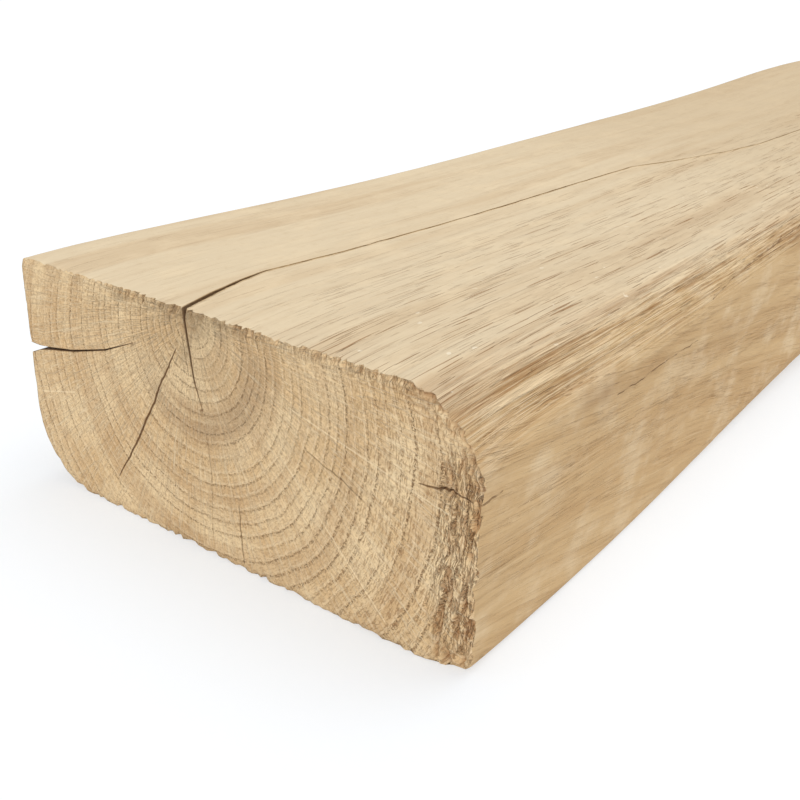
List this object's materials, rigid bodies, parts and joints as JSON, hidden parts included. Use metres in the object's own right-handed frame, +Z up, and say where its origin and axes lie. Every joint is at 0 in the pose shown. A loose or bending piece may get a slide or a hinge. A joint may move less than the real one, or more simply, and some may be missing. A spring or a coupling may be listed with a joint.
{
  "type": "aged oak beam",
  "caption": "Rough-hewn rectangular timber beam with waney rounded edges, a flat underside, square sawn ends, and drying checks along the top, the side and into the ends.",
  "frame": {"origin": "centre of the nominal section on the flat underside, at mid-length", "axes": "+Y along the beam from its near sawn end to its far one, +X across its width, +Z up from the underside to the top"},
  "size_m": [0.2426, 1.2, 0.1179],
  "materials": {
    "aged_oak": "dry bare wood, rough-hewn, matt"
  },
  "bodies": {
    "root": {"oak_beam": "aged_oak"}
  },
  "joints": []
}
